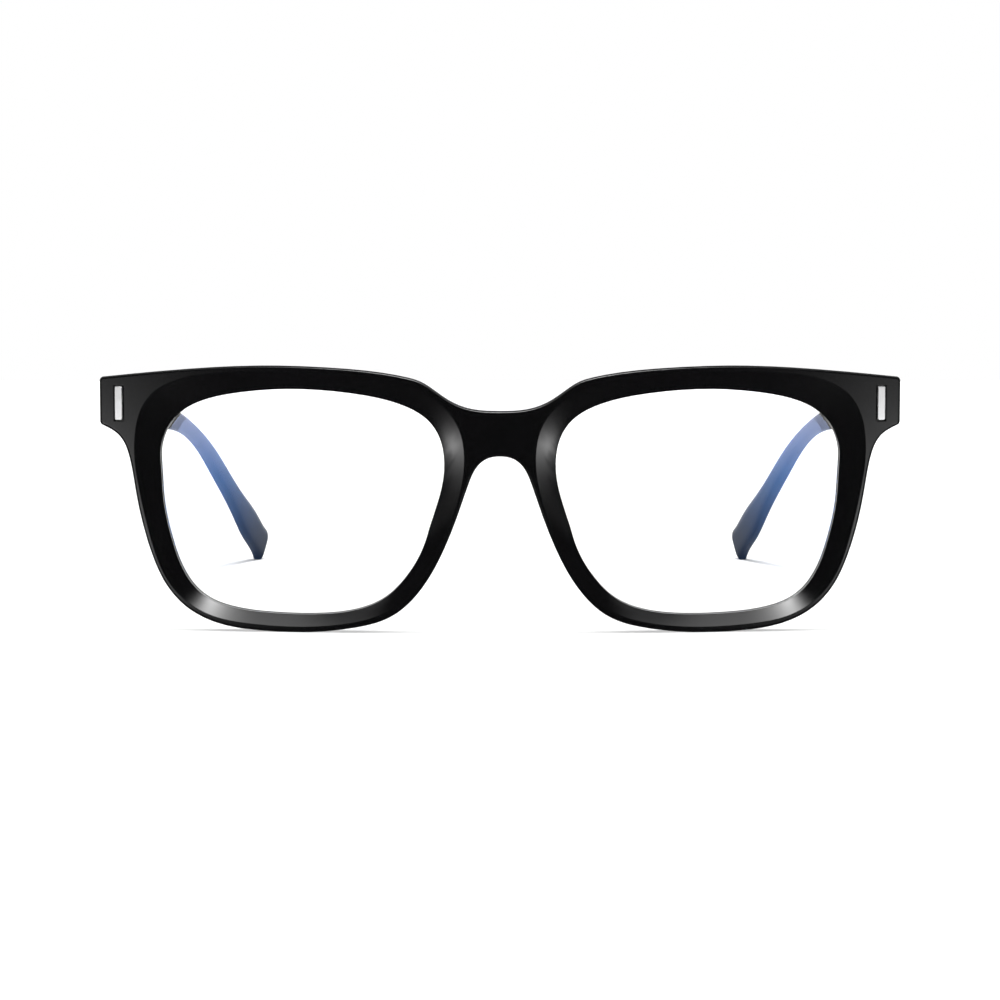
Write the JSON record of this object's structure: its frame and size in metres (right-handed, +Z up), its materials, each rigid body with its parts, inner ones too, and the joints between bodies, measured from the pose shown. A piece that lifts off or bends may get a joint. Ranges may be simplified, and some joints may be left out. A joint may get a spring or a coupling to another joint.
{
  "type": "blue light glasses",
  "caption": "Gloss black full-rim glasses with clear blue-filter lenses, silver inlaid bars on the end pieces and folding temples.",
  "frame": {"origin": "bottom centre of the bounding box, on the surface that the rims and the temple tips stand on", "axes": "+X to the right of a viewer who faces the front, +Y from the front back to the temple tips, +Z up"},
  "size_m": [0.147, 0.1418, 0.0487],
  "materials": {
    "frame_black": "polished",
    "temple_black": "polished",
    "pad_black": "polished",
    "lens_clear": "clear with a blue reflecting coating",
    "trim_silver": "satin",
    "hinge_steel": "satin",
    "rivet_steel": "bright",
    "screw_steel": "bright",
    "core_steel": "drawn wire"
  },
  "bodies": {
    "front": {"front_frame": "frame_black", "lens_right": "lens_clear", "nose_pad_right": "pad_black", "trim_bar_right": "trim_silver", "front_hinge_leaf_right": "hinge_steel", "front_hinge_rivets_right": "rivet_steel", "hinge_screw_right": "screw_steel", "lens_left": "lens_clear", "nose_pad_left": "pad_black", "trim_bar_left": "trim_silver", "front_hinge_leaf_left": "hinge_steel", "front_hinge_rivets_left": "rivet_steel", "hinge_screw_left": "screw_steel"},
    "temple_arm_right": {"temple_right": "temple_black", "temple_core_right": "core_steel", "temple_hinge_leaf_right": "hinge_steel", "temple_hinge_rivets_right": "rivet_steel"},
    "temple_arm_left": {"temple_left": "temple_black", "temple_core_left": "core_steel", "temple_hinge_leaf_left": "hinge_steel", "temple_hinge_rivets_left": "rivet_steel"}
  },
  "joints": [
    {"name": "temple_fold_right", "type": "hinge", "parent": "front", "child": "temple_arm_right", "pos_m": [0.0677, -0.05695, 0.04263], "axis": [0, 0, 1], "range_deg": [0, 85]},
    {"name": "temple_fold_left", "type": "hinge", "parent": "front", "child": "temple_arm_left", "pos_m": [-0.0677, -0.05695, 0.04263], "axis": [0, 0, -1], "range_deg": [0, 79]}
  ]
}
